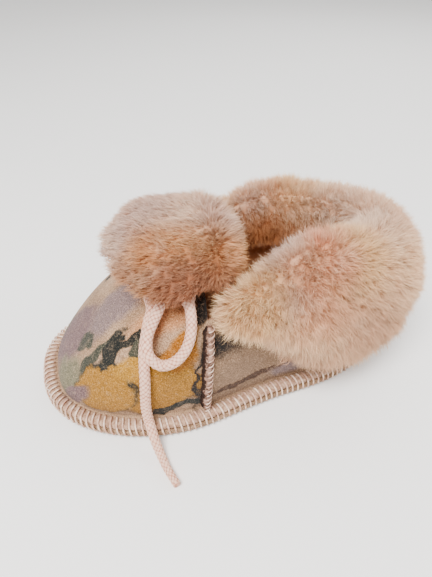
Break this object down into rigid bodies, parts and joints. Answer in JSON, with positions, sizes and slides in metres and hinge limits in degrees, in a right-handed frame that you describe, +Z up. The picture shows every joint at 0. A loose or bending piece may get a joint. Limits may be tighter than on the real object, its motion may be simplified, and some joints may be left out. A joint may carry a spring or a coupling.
{
  "type": "baby sheepskin slipper",
  "caption": "Soft baby slipper of printed suede with a flat sole, a folded wool cuff, a wool tongue flap and a drawstring bow.",
  "frame": {"origin": "middle of the sole's flat underside, on the floor", "axes": "+Z up, toe along -Y, heel along +Y, the wearer's left along +X"},
  "size_m": [0.0992, 0.1379, 0.0667],
  "materials": {
    "printed_suede": "napped suede with a blotchy floral print",
    "plain_suede": "napped suede",
    "overcast_seam": "cut suede edges, whip stitched",
    "wool": "long cream-peach wool",
    "lining_wool": "short trodden wool",
    "cord": "round braided cotton"
  },
  "bodies": {
    "root": {"outsole": "plain_suede", "insole": "lining_wool", "upper": "printed_suede", "side_seam_left": "overcast_seam", "side_seam_right": "overcast_seam", "cuff": "wool", "tongue": "wool", "drawstring": "cord", "bow_knot": "cord", "bow_loop_left": "cord", "bow_loop_right": "cord", "bow_end_left": "cord", "bow_end_right": "cord"}
  },
  "joints": []
}
